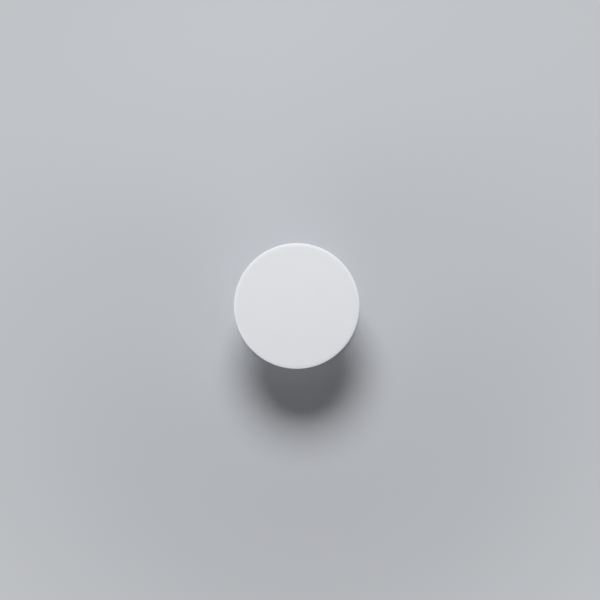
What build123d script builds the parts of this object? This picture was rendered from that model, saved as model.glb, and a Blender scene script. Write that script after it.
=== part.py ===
"""Collapsible phone grip: a round base with an adhesive pad, a folding bellows and a flat cap.

Millimetres. +Z runs up the grip's axis, and the origin is the middle of the pad's sticky underside.
The bellows is drawn pulled out. Each of its steep walls joins the next by a thin sloping web, and the
walls and the webs rise by the same amount, so that pressing the cap down swings the webs over between
the walls and the whole stack nests to the height of one wall.
"""

import os

from build123d import *

# Adhesive pad: a gel disc, cut from sheet
pad_thickness = 0.8
pad_margin = 2.0  # bare ring of the base around the pad

# Base: a ring with a lip over the bellows' foot, closed from below by a welded disc
closing_disc_thickness = 0.8
closing_disc_clearance = 0.05  # radial
lip_thickness = 0.8
lip_clearance = 0.3  # radial, between the lip and the bellows' lowest wall
lip_edge_chamfer = 0.25
base_rim_width = 3.0  # from the pocket for the foot to the outside
base_top_radius = 0.9
base_bottom_chamfer = 0.3

# Bellows: one soft moulding
wall_count = 3
fold_rise = 3.8  # height of each wall, and of each web
lowest_wall_radius = 15.2  # outside, at its foot
wall_pitch = 3.0  # from the foot of one wall to the foot of the next
wall_lean = 0.35  # how far each wall leans in over its height
wall_thickness = 1.3  # measured level
web_thickness = 0.65  # measured level
shoulder_radius = 0.45
web_root_radius = 0.25
fold_groove_width = 0.4  # round the foot of each upper wall
fold_groove_depth = 0.2
foot_thickness = 0.6
foot_reach = 1.6  # past the lowest wall
foot_clearance = 0.2  # radial, inside the base's pocket
top_plate_thickness = 1.3

# Cap: a disc whose face falls away to a crisp rim, hollow below, and a split stem that snaps through the bellows
cap_diameter = 40.0
cap_face_thickness = 1.4
cap_rim_width = 1.7
cap_rim_depth = 1.0
cap_edge_reach = 1.3  # from the rim to where the face starts to fall away
cap_edge_fall = 0.2  # at the rim
cap_top_radius = 0.25
cap_bottom_chamfer = 0.4
cap_recess_radius = 0.3
stem_diameter = 7.2
stem_wall = 1.3
stem_clearance = 0.05  # radial, in the bellows' top plate
barb_reach = 0.7
barb_height = 1.2
barb_lead = 0.4  # how far the stem's tip tapers in from the stem
barb_play = 0.1  # between the barbs and the top plate
slot_count = 4
slot_width = 0.9
slot_root = 0.3  # solid stem left above each slot

# Heights
pad_top = pad_thickness
foot_bottom = pad_top + closing_disc_thickness
foot_top = foot_bottom + foot_thickness
base_top = foot_top + lip_thickness
seat = foot_bottom + (2 * wall_count - 1) * fold_rise  # the cap's underside on the bellows
cap_top = seat + cap_face_thickness
cap_edge_top = cap_top - cap_edge_fall
rim_bottom = seat - cap_rim_depth
plate_bottom = seat - top_plate_thickness
barb_top = plate_bottom - barb_play
stem_end = barb_top - barb_height

# Radii
foot_radius = lowest_wall_radius + foot_reach
pocket_radius = foot_radius + foot_clearance
closing_disc_radius = pocket_radius - closing_disc_clearance
lip_radius = lowest_wall_radius + lip_clearance
base_radius = pocket_radius + base_rim_width
pad_radius = base_radius - pad_margin
cap_radius = cap_diameter / 2
flat_radius = cap_radius - cap_edge_reach
recess_radius = cap_radius - cap_rim_width
stem_radius = stem_diameter / 2
stem_bore_radius = stem_radius - stem_wall
plate_hole_radius = stem_radius + stem_clearance
barb_radius = stem_radius + barb_reach

os.makedirs("parts", exist_ok=True)


def corner(sketch, radius, height):
    """The corner of a half section that lies at this radius and height."""
    return sketch.vertices().sort_by_distance((radius, height))[0]


# Adhesive pad
with BuildPart() as adhesive_pad:
    with BuildSketch():
        Circle(pad_radius)
    extrude(amount=pad_thickness)
adhesive_pad.part.label = "adhesive_pad"
export_step(adhesive_pad.part, "parts/adhesive_pad.step")

# Closing disc, under the bellows' foot
with BuildPart() as base_disc:
    with BuildSketch(Plane.XY.offset(pad_top)):
        Circle(closing_disc_radius)
    extrude(amount=closing_disc_thickness)
base_disc.part.label = "base_disc"
export_step(base_disc.part, "parts/base_disc.step")

# Base ring, its pocket open below and its lip over the foot
with BuildPart() as base_ring:
    with BuildSketch(Plane.XZ) as ring_section:
        with BuildLine():
            Polyline(
                (pocket_radius, pad_top),
                (base_radius, pad_top),
                (base_radius, base_top),
                (lip_radius, base_top),
                (lip_radius, foot_top),
                (pocket_radius, foot_top),
                close=True,
            )
        make_face()
        fillet(corner(ring_section, base_radius, base_top), base_top_radius)
        chamfer(corner(ring_section, base_radius, pad_top), base_bottom_chamfer)
        chamfer(corner(ring_section, lip_radius, base_top), lip_edge_chamfer)
    revolve(axis=Axis.Z)
base_ring.part.label = "base_ring"
export_step(base_ring.part, "parts/base_ring.step")

# Bellows: steep walls one inside the next, joined from the inner top edge of one to the outer foot of the next
wall_feet = [(lowest_wall_radius - i * wall_pitch, foot_bottom + 2 * i * fold_rise) for i in range(wall_count)]
outer_side = []
inner_side = []
for radius, height in wall_feet:
    top_radius = radius - wall_lean
    outer_side += [
        (radius, height),
        (top_radius, height + fold_rise),
        (top_radius - wall_thickness + web_thickness, height + fold_rise),
    ]
    inner_side += [
        (radius - web_thickness, height),
        (radius - wall_thickness, height),
        (top_radius - wall_thickness, height + fold_rise),
    ]
neck_radius = wall_feet[-1][0] - wall_lean

with BuildPart() as bellows:
    with BuildSketch(Plane.XZ) as bellows_section:
        with BuildLine():
            Polyline(*outer_side[:-1], *reversed(inner_side[1:]), close=True)
        make_face()
        for radius, height in wall_feet[:-1]:
            shoulder = radius - wall_lean
            fillet(corner(bellows_section, shoulder, height + fold_rise), shoulder_radius)
            web_root = shoulder - wall_thickness + web_thickness
            fillet(corner(bellows_section, web_root, height + fold_rise), web_root_radius)
        for radius, height in wall_feet[1:]:
            with BuildLine():
                Polyline(
                    (radius - fold_groove_depth, height),
                    (radius + fold_groove_depth, height - fold_groove_width),
                    (radius + fold_groove_depth, height + fold_groove_width),
                    close=True,
                )
            make_face(mode=Mode.SUBTRACT)
        with Locations((foot_radius, foot_bottom)):
            Rectangle(foot_reach + wall_thickness, foot_thickness, align=(Align.MAX, Align.MIN))
        with Locations((plate_hole_radius, plate_bottom)):
            plate_width = neck_radius - wall_thickness / 2 - plate_hole_radius
            Rectangle(plate_width, top_plate_thickness, align=(Align.MIN, Align.MIN))
    revolve(axis=Axis.Z)
bellows.part.label = "bellows"
export_step(bellows.part, "parts/bellows.step")

# Cap and its stem, moulded together
with BuildPart() as cap:
    with BuildSketch(Plane.XZ) as cap_section:
        with BuildLine():
            TangentArc((flat_radius, cap_top), (cap_radius, cap_edge_top), tangent=(1, 0))
            Polyline(
                (cap_radius, cap_edge_top),
                (cap_radius, rim_bottom),
                (recess_radius, rim_bottom),
                (recess_radius, seat),
                (stem_radius, seat),
                (stem_radius, barb_top),
                (barb_radius, barb_top),
                (stem_radius - barb_lead, stem_end),
                (stem_bore_radius, stem_end),
                (stem_bore_radius, seat),
                (0, seat),
                (0, cap_top),
                (flat_radius, cap_top),
            )
        make_face()
        fillet(corner(cap_section, cap_radius, cap_edge_top), cap_top_radius)
        chamfer(corner(cap_section, cap_radius, rim_bottom), cap_bottom_chamfer)
        fillet(corner(cap_section, recess_radius, rim_bottom), cap_recess_radius)
        fillet(corner(cap_section, recess_radius, seat), cap_recess_radius)
    revolve(axis=Axis.Z)
    with BuildSketch(Plane.XY.offset(stem_end)):
        with PolarLocations((stem_bore_radius + barb_radius) / 2, slot_count):
            Rectangle(barb_radius, slot_width)
    extrude(amount=seat - slot_root - stem_end, mode=Mode.SUBTRACT)
cap.part.label = "cap"
export_step(cap.part, "parts/cap.step")
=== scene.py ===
"""A white collapsible phone grip, pulled out and standing on its base, seen from above its cap."""

import math

import bpy
import numpy as np
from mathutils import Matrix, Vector


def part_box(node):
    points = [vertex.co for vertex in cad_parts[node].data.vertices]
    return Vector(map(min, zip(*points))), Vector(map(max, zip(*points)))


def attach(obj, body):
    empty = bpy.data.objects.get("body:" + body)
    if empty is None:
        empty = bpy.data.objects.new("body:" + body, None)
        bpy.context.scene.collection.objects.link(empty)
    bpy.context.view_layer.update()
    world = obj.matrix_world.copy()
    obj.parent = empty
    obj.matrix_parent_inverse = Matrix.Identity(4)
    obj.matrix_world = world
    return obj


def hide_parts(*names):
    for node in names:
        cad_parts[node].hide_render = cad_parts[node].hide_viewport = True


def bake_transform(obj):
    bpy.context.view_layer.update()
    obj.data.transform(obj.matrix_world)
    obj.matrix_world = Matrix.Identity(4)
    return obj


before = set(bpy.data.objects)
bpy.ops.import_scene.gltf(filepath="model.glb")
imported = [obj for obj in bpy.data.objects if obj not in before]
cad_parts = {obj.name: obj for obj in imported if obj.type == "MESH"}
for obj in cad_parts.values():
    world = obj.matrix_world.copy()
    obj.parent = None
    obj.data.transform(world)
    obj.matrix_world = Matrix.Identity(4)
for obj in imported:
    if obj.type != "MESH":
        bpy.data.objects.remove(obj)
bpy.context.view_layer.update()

# Base ring
# A hard ring injection moulded in white plastic, with a rounded top edge and a lip round its hole.
# The lip holds the bellows' foot down on a closing disc, which is welded into the ring from below.
mm = 0.001
ring_low, ring_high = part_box("base_ring")
ring_radius = ring_high.x
ring_foot = ring_low.z
ring_top = ring_high.z
pocket_radius = 17.0 * mm
lip_radius = 15.5 * mm
lip_thickness = 0.8 * mm
lip_underside = ring_top - lip_thickness
ring_top_edge = 0.9 * mm
ring_foot_edge = 0.3 * mm
lip_edge = 0.25 * mm
crisp_edge = 0.06 * mm
ring_parting_rise = 0.45 * mm
ring_parting = ring_foot + ring_parting_rise
parting_depth = 0.015 * mm
parting_width = 0.08 * mm
white_tone = (0.735, 0.745, 0.775)
white_shade = (0.715, 0.725, 0.755)
white_rough = (0.58, 0.66)
white_specular = 0.3
white_grain = (4000.0, 0.022 * mm)
grain_detail = 2.0
clouds_detail = 3.0


def rounded(corners, longest_step=0.12 * mm, least_steps=3, hold=0.06 * mm):
    """An outline of (radius, height) points from (radius, height, rounding) corners.

    A rounding is an arc about the point that lies its own radius from both sides of the corner.
    Beside each arc its two sides get a point a short hold away, which keeps their shading flat.
    """
    corners = np.array(corners)
    places = corners[:, :2]
    outline = []
    for corner, before, after in zip(corners, np.roll(places, 1, 0), np.roll(places, -1, 0)):
        here, radius = corner[:2], corner[2]
        if radius == 0:
            outline.append(here[None])
            continue
        back = (before - here) / np.linalg.norm(before - here)
        on = (after - here) / np.linalg.norm(after - here)
        half = math.acos(np.clip(back @ on, -1, 1)) / 2
        reach = radius / math.tan(half)
        centre = here + (back + on) / np.linalg.norm(back + on) * radius / math.sin(half)
        first = here + back * reach - centre
        last = here + on * reach - centre
        turn = math.atan2(first[0] * last[1] - first[1] * last[0], first @ last)
        steps = least_steps + int(abs(turn) * radius / longest_step)
        angle = np.linspace(0, turn, steps + 1)[:, None]
        across = np.array([-first[1], first[0]])
        arc = centre + first * np.cos(angle) + across * np.sin(angle)
        outline.append(np.vstack([here + back * (reach + hold), arc, here + on * (reach + hold)]))
    return np.vstack(outline)


def turned(outline, turns=288):
    """The points and faces of an outline of (radius, height), anticlockwise, carried round Z.

    A point is (radius cos angle, radius sin angle, height). An outline that starts and ends on the
    axis gets a pole there, one vertex with a fan of triangles, and any other outline is closed. The
    faces come in blocks, one array for those between the rows and one for each fan.
    """
    on_axis = outline[0, 0] == 0
    rows = outline[1:-1] if on_axis else outline
    angle = np.arange(turns) * 2 * math.pi / turns
    grid = np.empty((len(rows), turns, 3))
    grid[:, :, 0] = rows[:, :1] * np.cos(angle)
    grid[:, :, 1] = rows[:, :1] * np.sin(angle)
    grid[:, :, 2] = rows[:, 1:]
    points = grid.reshape(-1, 3)
    index = np.arange(len(points)).reshape(len(rows), turns)
    if not on_axis:
        index = np.vstack([index, index[:1]])
    beside = np.roll(index, -1, 1)
    faces = [np.stack([index[:-1], beside[:-1], beside[1:], index[1:]], 2).reshape(-1, 4)]
    if on_axis:
        first, last = len(points), len(points) + 1
        points = np.vstack([points, [0, 0, outline[0, 1]], [0, 0, outline[-1, 1]]])
        faces.append(np.stack([np.full(turns, first), beside[0], index[0]], 1))
        faces.append(np.stack([np.full(turns, last), index[-1], beside[-1]], 1))
    return points, faces


def piece(name, material, *surfaces, crease=math.radians(35)):
    """One object at the origin from surfaces of points and faces, sharp at edges past the crease."""
    points = np.empty((0, 3))
    faces = []
    for surface_points, surface_faces in surfaces:
        for block in surface_faces:
            faces += (block + len(points)).tolist()
        points = np.vstack([points, surface_points])
    mesh = bpy.data.meshes.new(name)
    mesh.from_pydata(points.tolist(), [], faces)
    mesh.polygons.foreach_set("use_smooth", np.ones(len(mesh.polygons), bool))
    mesh.set_sharp_from_angle(angle=crease)
    mesh.materials.append(material)
    made = bpy.data.objects.new(name, mesh)
    bpy.context.scene.collection.objects.link(made)
    return made


def moulded_surface():
    """What a mould leaves on a piece: a fine grain on its skin, and slow clouds of tone and gloss."""
    group = bpy.data.node_groups.new("moulded surface", "ShaderNodeTree")
    group.interface.new_socket("Position", in_out="INPUT", socket_type="NodeSocketVector")
    given = group.nodes.new("NodeGroupInput")
    result = group.nodes.new("NodeGroupOutput")
    for mark, detail in (("Grain", grain_detail), ("Clouds", clouds_detail)):
        density = mark + " per metre"
        group.interface.new_socket(density, in_out="INPUT", socket_type="NodeSocketFloat")
        group.interface.new_socket(mark, in_out="OUTPUT", socket_type="NodeSocketFloat")
        noise = group.nodes.new("ShaderNodeTexNoise")
        noise.inputs["Detail"].default_value = detail
        group.links.new(given.outputs["Position"], noise.inputs["Vector"])
        group.links.new(given.outputs[density], noise.inputs["Scale"])
        group.links.new(noise.outputs["Fac"], result.inputs[mark])
    return group


def moulded(name, tone, shade, rough, specular, grain, clouds_per_metre=160.0):
    """A moulded material: two close tones and a span of roughness follow the clouds, under a grain.

    The grain is given as its marks per metre and its height.
    """
    grain_per_metre, grain_height = grain
    material = bpy.data.materials.new(name)
    material.use_nodes = True
    nodes, links = material.node_tree.nodes, material.node_tree.links
    skin = nodes["Principled BSDF"]
    skin.inputs["Specular IOR Level"].default_value = specular
    place = nodes.new("ShaderNodeTexCoord")
    marks = nodes.new("ShaderNodeGroup")
    marks.node_tree = mould_marks
    marks.inputs["Grain per metre"].default_value = grain_per_metre
    marks.inputs["Clouds per metre"].default_value = clouds_per_metre
    links.new(place.outputs["Object"], marks.inputs["Position"])
    tones = nodes.new("ShaderNodeMix")
    tones.data_type = "RGBA"
    tones.inputs["A"].default_value = (*shade, 1)
    tones.inputs["B"].default_value = (*tone, 1)
    links.new(marks.outputs["Clouds"], tones.inputs["Factor"])
    links.new(tones.outputs["Result"], skin.inputs["Base Color"])
    gloss = nodes.new("ShaderNodeMapRange")
    gloss.inputs["To Min"].default_value = rough[0]
    gloss.inputs["To Max"].default_value = rough[1]
    links.new(marks.outputs["Clouds"], gloss.inputs["Value"])
    links.new(gloss.outputs["Result"], skin.inputs["Roughness"])
    bump = nodes.new("ShaderNodeBump")
    bump.inputs["Distance"].default_value = grain_height
    links.new(marks.outputs["Grain"], bump.inputs["Height"])
    links.new(bump.outputs["Normal"], skin.inputs["Normal"])
    return material


def parting_line(radius, height):
    """Corners, going up, of the fine groove that the two halves of a mould leave round a side."""
    return [
        (radius, height - parting_width / 2, 0),
        (radius - parting_depth, height, 0),
        (radius, height + parting_width / 2, 0),
    ]


mould_marks = moulded_surface()
white_plastic = moulded(
    "satin white plastic",
    white_tone,
    white_shade,
    white_rough,
    white_specular,
    white_grain,
)
base_ring = piece(
    "base_ring_moulded",
    white_plastic,
    turned(
        rounded(
            [
                (pocket_radius, ring_foot, crisp_edge),
                (ring_radius, ring_foot, ring_foot_edge),
                *parting_line(ring_radius, ring_parting),
                (ring_radius, ring_top, ring_top_edge),
                (lip_radius, ring_top, lip_edge),
                (lip_radius, lip_underside, crisp_edge),
                (pocket_radius, lip_underside, crisp_edge),
            ]
        )
    ),
)
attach(base_ring, "base")
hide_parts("base_ring")

# Bellows
# One soft moulding in white elastomer: steep walls, each inside the last, joined by sloping webs.
# Its foot is trapped in the base. Pressed down, the webs swing over and the walls nest together.
bellows_low, bellows_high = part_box("bellows")
bellows_foot = bellows_low.z
bellows_top = bellows_high.z
foot_radius = bellows_high.x
foot_thickness = 0.6 * mm
wall_count = 3
fold_rise = (bellows_top - bellows_foot) / (2 * wall_count - 1)
lowest_wall_radius = 15.2 * mm
wall_pitch = 3.0 * mm
wall_lean = 0.35 * mm
wall_thickness = 1.3 * mm
web_thickness = 0.65 * mm
plate_thickness = 1.3 * mm
plate_hole = 3.65 * mm
shoulder_edge = 0.45 * mm
web_root_edge = 0.18 * mm
groove_width = 0.4 * mm
groove_depth = 0.2 * mm
groove_edge = 0.07 * mm
inner_edge = 0.15 * mm
elastomer_tone = (0.705, 0.707, 0.719)
elastomer_shade = (0.675, 0.677, 0.689)
elastomer_rough = (0.60, 0.72)
elastomer_specular = 0.4
elastomer_grain = (3000.0, 0.03 * mm)
elastomer_scatter = 0.25
elastomer_depth = (0.9 * mm, 0.8 * mm, 0.7 * mm)


def scatter(material, weight, depth):
    """Lets this share of a material scatter light inside it, to a depth in metres for each colour."""
    skin = material.node_tree.nodes["Principled BSDF"]
    skin.inputs["Subsurface Weight"].default_value = weight
    skin.inputs["Subsurface Radius"].default_value = depth
    skin.inputs["Subsurface Scale"].default_value = 1.0


# Corners of both sides, each wall with the groove at its foot and the root of the web above it
web_lean = wall_pitch - wall_lean - wall_thickness + web_thickness
outer_side = []
inner_side = []
for i in range(wall_count):
    radius = lowest_wall_radius - i * wall_pitch
    height = bellows_foot + 2 * i * fold_rise
    top_radius = radius - wall_lean
    top = height + fold_rise
    outer_side += [
        (radius + web_lean / fold_rise * groove_width / 2, height - groove_width / 2, groove_edge),
        (radius - groove_depth, height, groove_edge),
        (radius - wall_lean / fold_rise * groove_width / 2, height + groove_width / 2, groove_edge),
        (top_radius, top, shoulder_edge),
        (top_radius - wall_thickness + web_thickness, top, web_root_edge),
    ]
    inner_side += [
        (radius - web_thickness, height, inner_edge),
        (radius - wall_thickness, height, inner_edge),
        (top_radius - wall_thickness, top, inner_edge),
    ]

# The lowest wall has neither a groove nor a web below it, and the highest carries the top plate
outer_walls = outer_side[3:-1]
inner_walls = inner_side[2:-1]
neck_radius = inner_side[-1][0]
foot_lean = wall_lean * foot_thickness / fold_rise
plate_lean = wall_lean * plate_thickness / fold_rise
plate_underside = bellows_top - plate_thickness
elastomer = moulded(
    "soft white elastomer",
    elastomer_tone,
    elastomer_shade,
    elastomer_rough,
    elastomer_specular,
    elastomer_grain,
)
scatter(elastomer, elastomer_scatter, elastomer_depth)
bellows = piece(
    "bellows_moulded",
    elastomer,
    turned(
        rounded(
            [
                (lowest_wall_radius - wall_thickness, bellows_foot, inner_edge),
                (foot_radius, bellows_foot, inner_edge),
                (foot_radius, bellows_foot + foot_thickness, inner_edge),
                (lowest_wall_radius - foot_lean, bellows_foot + foot_thickness, inner_edge),
                *outer_walls,
                (plate_hole, bellows_top, crisp_edge),
                (plate_hole, plate_underside, crisp_edge),
                (neck_radius + plate_lean, plate_underside, inner_edge),
                *reversed(inner_walls),
            ]
        )
    ),
)
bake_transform(bellows)
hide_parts("bellows")

# Closing disc
# A plain disc moulded in the ring's plastic. It is welded into the ring from below, under the
# bellows' foot, and the pad covers it.
closing_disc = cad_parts["base_disc"].data
closing_disc.materials.clear()
closing_disc.materials.append(white_plastic)

# Adhesive pad
# A disc of tacky milky gel, cut from sheet and stuck under the base. Its cut edge bulges a little
# under the press that stuck it down.
pad_low, pad_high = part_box("adhesive_pad")
pad_radius = pad_high.x
pad_foot = pad_low.z
pad_top = pad_high.z
pad_bulge = 0.10 * mm
pad_edge = 0.06 * mm
pad_bulge_edge = 0.8 * mm
gel_tone = (0.66, 0.675, 0.69)
gel_shade = (0.62, 0.635, 0.65)
gel_rough = (0.22, 0.34)
gel_specular = 0.5
gel_grain = (1500.0, 0.003 * mm)
gel_scatter = 0.5
gel_depth = (1.2 * mm, 1.2 * mm, 1.2 * mm)

gel = moulded("milky gel", gel_tone, gel_shade, gel_rough, gel_specular, gel_grain)
scatter(gel, gel_scatter, gel_depth)
adhesive_pad = piece(
    "adhesive_pad_gel",
    gel,
    turned(
        rounded(
            [
                (0, pad_foot, 0),
                (pad_radius - pad_bulge, pad_foot, pad_edge),
                (pad_radius, (pad_foot + pad_top) / 2, pad_bulge_edge),
                (pad_radius - pad_bulge, pad_top, pad_edge),
                (0, pad_top, 0),
            ]
        )
    ),
)
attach(adhesive_pad, "base")
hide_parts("adhesive_pad")

# Cap
# A disc moulded in the same white plastic, hollow below, whose blank face falls away to a crisp rim.
# Its stem is split into four fingers, whose barbs snap through the bellows' top plate and let it turn.
cap_low, cap_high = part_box("cap")
cap_radius = cap_high.x
cap_top = cap_high.z
cap_seat = bellows_top
cap_rim_depth = 1.0 * mm
cap_rim_width = 1.7 * mm
cap_rim_foot = cap_seat - cap_rim_depth
recess_radius = cap_radius - cap_rim_width
cap_fall = 0.2 * mm
cap_fall_reach = 0.8 * mm
cap_fall_edge = 3.8 * mm
cap_top_edge = 0.25 * mm
cap_foot_edge = 0.4 * mm
recess_edge = 0.3 * mm
cap_parting_rise = 0.55 * mm
cap_parting = cap_rim_foot + cap_parting_rise
stem_end = cap_low.z
stem_radius = 3.6 * mm
stem_bore = 2.3 * mm
barb_radius = 4.3 * mm
barb_height = 1.2 * mm
barb_top = stem_end + barb_height
barb_lead = 0.4 * mm
finger_count = 4
finger_root = 0.3 * mm
finger_top = cap_seat - finger_root
slot_width = 0.9 * mm


def fingers(outline, steps=16):
    """The points and faces of a split stem, an outline of (radius, height) carried round between slots.

    Over one finger the angle runs from arcsin(half a slot / radius) to a finger's share of the circle
    less that, so its two ends are flat and face the next fingers across slots of one width. The faces
    come in blocks, one array for the sides of all fingers and one for each end.
    """
    share = 2 * math.pi / finger_count
    radius = outline[:, :1]
    margin = np.arcsin(slot_width / 2 / radius)
    one = margin + (share - 2 * margin) * np.linspace(0, 1, steps + 1)
    angle = one + share * np.arange(finger_count)[:, None, None]
    height = np.broadcast_to(outline[:, 1:], angle.shape)
    points = np.stack([radius * np.cos(angle), radius * np.sin(angle), height], 3).reshape(-1, 3)
    index = np.arange(len(points)).reshape(angle.shape)
    index = np.concatenate([index, index[:, :1]], 1)
    corners = [index[:, :-1, :-1], index[:, :-1, 1:], index[:, 1:, 1:], index[:, 1:, :-1]]
    sides = np.stack(corners, 3).reshape(-1, 4)
    return points, [sides, index[:, :-1, 0], index[:, -2::-1, -1]]


cap = piece(
    "cap_moulded",
    white_plastic,
    turned(
        rounded(
            [
                (0, cap_seat, 0),
                (stem_bore, cap_seat, crisp_edge),
                (stem_bore, finger_top, crisp_edge),
                (stem_radius, finger_top, crisp_edge),
                (stem_radius, cap_seat, crisp_edge),
                (recess_radius, cap_seat, recess_edge),
                (recess_radius, cap_rim_foot, recess_edge),
                (cap_radius, cap_rim_foot, cap_foot_edge),
                *parting_line(cap_radius, cap_parting),
                (cap_radius, cap_top - cap_fall, cap_top_edge),
                (cap_radius - cap_fall_reach, cap_top, cap_fall_edge),
                (0, cap_top, 0),
            ]
        )
    ),
    fingers(
        rounded(
            [
                (stem_bore, stem_end, crisp_edge),
                (stem_radius - barb_lead, stem_end, crisp_edge),
                (barb_radius, barb_top, crisp_edge),
                (stem_radius, barb_top, crisp_edge),
                (stem_radius, finger_top, 0),
                (stem_bore, finger_top, 0),
            ]
        )
    ),
)
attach(cap, "cap")
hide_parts("cap")

# Floor and backdrop
# A matt pale floor under the grip, which fades further out into an even backdrop of nearly its tone.
floor_tone = (0.495, 0.509, 0.537)
backdrop_tone = (0.525, 0.539, 0.563)
floor_rough = 0.9
floor_specular = 0.0
floor_reach = 2.6
floor_drop = 0.02 * mm
fade_start = 0.045
fade_end = 0.16


def fading_floor():
    """A matt floor that turns, for the camera alone, into the backdrop further from the object."""
    material = bpy.data.materials.new("pale floor")
    material.use_nodes = True
    nodes, links = material.node_tree.nodes, material.node_tree.links
    skin = nodes["Principled BSDF"]
    skin.inputs["Base Color"].default_value = (*floor_tone, 1)
    skin.inputs["Roughness"].default_value = floor_rough
    skin.inputs["Specular IOR Level"].default_value = floor_specular
    place = nodes.new("ShaderNodeTexCoord")
    reach = nodes.new("ShaderNodeVectorMath")
    reach.operation = "LENGTH"
    links.new(place.outputs["Object"], reach.inputs[0])
    fade = nodes.new("ShaderNodeMapRange")
    fade.interpolation_type = "SMOOTHSTEP"
    fade.inputs["From Min"].default_value = fade_start
    fade.inputs["From Max"].default_value = fade_end
    links.new(reach.outputs["Value"], fade.inputs["Value"])
    rays = nodes.new("ShaderNodeLightPath")
    seen = nodes.new("ShaderNodeMath")
    seen.operation = "MULTIPLY"
    links.new(fade.outputs["Result"], seen.inputs[0])
    links.new(rays.outputs["Is Camera Ray"], seen.inputs[1])
    glow = nodes.new("ShaderNodeEmission")
    glow.inputs["Color"].default_value = (*backdrop_tone, 1)
    mix = nodes.new("ShaderNodeMixShader")
    links.new(seen.outputs["Value"], mix.inputs["Fac"])
    links.new(skin.outputs["BSDF"], mix.inputs[1])
    links.new(glow.outputs["Emission"], mix.inputs[2])
    links.new(mix.outputs["Shader"], nodes["Material Output"].inputs["Surface"])
    return material


floor_corners = np.array([(-1, -1, 0), (1, -1, 0), (1, 1, 0), (-1, 1, 0)]) * floor_reach
floor_face = np.array([(0, 1, 2, 3)])
floor = piece("floor", fading_floor(), (floor_corners - (0, 0, floor_drop), [floor_face]))

# Light
# A softbox above and behind gives the light and the shadow. Two low panels, one in front on the left
# and one on the right, open the shaded sides, and an even fill comes from all round.
fill_tone = (0.98, 0.99, 1.0)
fill_strength = 0.13
key_direction = Vector((-0.09, 0.98, 1.0))
key_distance = 0.85
key_size = (0.52, 0.37)
key_power = 8.3
front_place = Vector((-0.55, -0.78, 0.07))
front_size = (1.0, 0.12)
front_power = 6.2
side_place = Vector((0.86, -0.36, 0.07))
side_size = (0.5, 0.12)
side_power = 2.2
lamp_aim = Vector((0, 0, 0.012))

world = bpy.data.worlds.new("even fill")
world.use_nodes = True
bpy.context.scene.world = world
world_nodes, world_links = world.node_tree.nodes, world.node_tree.links
fill = world_nodes["Background"]
fill.inputs["Color"].default_value = (*fill_tone, 1)
fill.inputs["Strength"].default_value = fill_strength
backdrop = world_nodes.new("ShaderNodeBackground")
backdrop.inputs["Color"].default_value = (*backdrop_tone, 1)
rays = world_nodes.new("ShaderNodeLightPath")
shown = rays.outputs["Is Camera Ray"]
for ray in ("Is Glossy Ray", "Is Transmission Ray"):
    either = world_nodes.new("ShaderNodeMath")
    either.operation = "MAXIMUM"
    world_links.new(shown, either.inputs[0])
    world_links.new(rays.outputs[ray], either.inputs[1])
    shown = either.outputs["Value"]
choice = world_nodes.new("ShaderNodeMixShader")
world_links.new(shown, choice.inputs["Fac"])
world_links.new(fill.outputs["Background"], choice.inputs[1])
world_links.new(backdrop.outputs["Background"], choice.inputs[2])
world_links.new(choice.outputs["Shader"], world_nodes["World Output"].inputs["Surface"])


def softbox(name, shape, place, size, power):
    """A soft lamp of this width and height that faces the object."""
    lamp = bpy.data.lights.new(name, "AREA")
    lamp.shape = shape
    lamp.size, lamp.size_y = size
    lamp.energy = power
    made = bpy.data.objects.new(name, lamp)
    made.location = place
    made.rotation_mode = "QUATERNION"
    made.rotation_quaternion = (lamp_aim - place).to_track_quat("-Z", "Y")
    made.visible_camera = False
    bpy.context.scene.collection.objects.link(made)


softbox("key", "ELLIPSE", key_direction.normalized() * key_distance, key_size, key_power)
softbox("front panel", "RECTANGLE", front_place, front_size, front_power)
softbox("side panel", "RECTANGLE", side_place, side_size, side_power)

# Camera
# Straight above the cap and a little off its axis, at the distance from which a cap of this size and
# height looks as large as the photo's. The photo alone doesn't tell that distance.
camera_place = Vector((1.05 * mm, 1.91 * mm, 540 * mm))
image_width = 600
floor_per_pixel = 0.33176 * mm
nearest_seen = 0.01

lens = bpy.data.cameras.new("camera")
lens.lens = lens.sensor_width * camera_place.z / (image_width * floor_per_pixel)
lens.clip_start = nearest_seen
camera = bpy.data.objects.new("camera", lens)
camera.location = camera_place
bpy.context.scene.collection.objects.link(camera)
bpy.context.scene.camera = camera
bpy.context.scene.view_settings.view_transform = "Standard"
